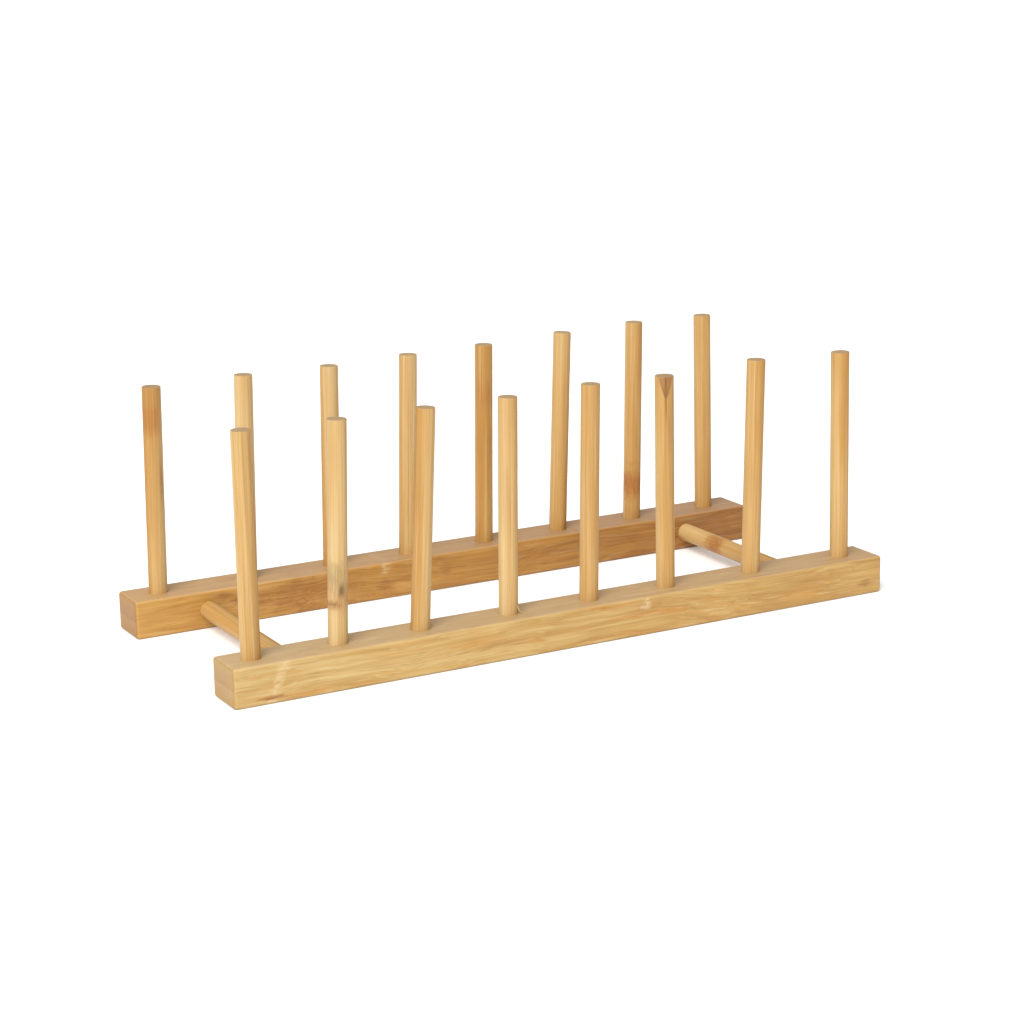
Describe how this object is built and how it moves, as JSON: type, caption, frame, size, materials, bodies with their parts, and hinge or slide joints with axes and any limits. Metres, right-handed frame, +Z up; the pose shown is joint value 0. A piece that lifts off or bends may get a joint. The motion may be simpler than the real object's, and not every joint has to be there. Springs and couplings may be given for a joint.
{
  "type": "dish drying rack",
  "caption": "Low bamboo plate rack: parallel rails joined by round crossbars, each rail carrying a row of upright dowel pegs that hold plates on edge to drain",
  "frame": {"origin": "On the table under the middle of the rack: the centre of the bottom of its bounding box", "axes": "+X along the rails, the longest extent; +Y from the front rail to the back rail; +Z up, the way the pegs stand"},
  "size_m": [0.335, 0.139, 0.1191],
  "materials": {
    "rail_bamboo": "satin laminated bamboo",
    "peg_bamboo": "satin bamboo dowel",
    "crossbar_bamboo": "satin bamboo dowel"
  },
  "bodies": {
    "root": {"front_rail": "rail_bamboo", "back_rail": "rail_bamboo", "left_crossbar": "crossbar_bamboo", "right_crossbar": "crossbar_bamboo", "front_peg_1": "peg_bamboo", "front_peg_2": "peg_bamboo", "front_peg_3": "peg_bamboo", "front_peg_4": "peg_bamboo", "front_peg_5": "peg_bamboo", "front_peg_6": "peg_bamboo", "front_peg_7": "peg_bamboo", "front_peg_8": "peg_bamboo", "back_peg_1": "peg_bamboo", "back_peg_2": "peg_bamboo", "back_peg_3": "peg_bamboo", "back_peg_4": "peg_bamboo", "back_peg_5": "peg_bamboo", "back_peg_6": "peg_bamboo", "back_peg_7": "peg_bamboo", "back_peg_8": "peg_bamboo"}
  },
  "joints": []
}
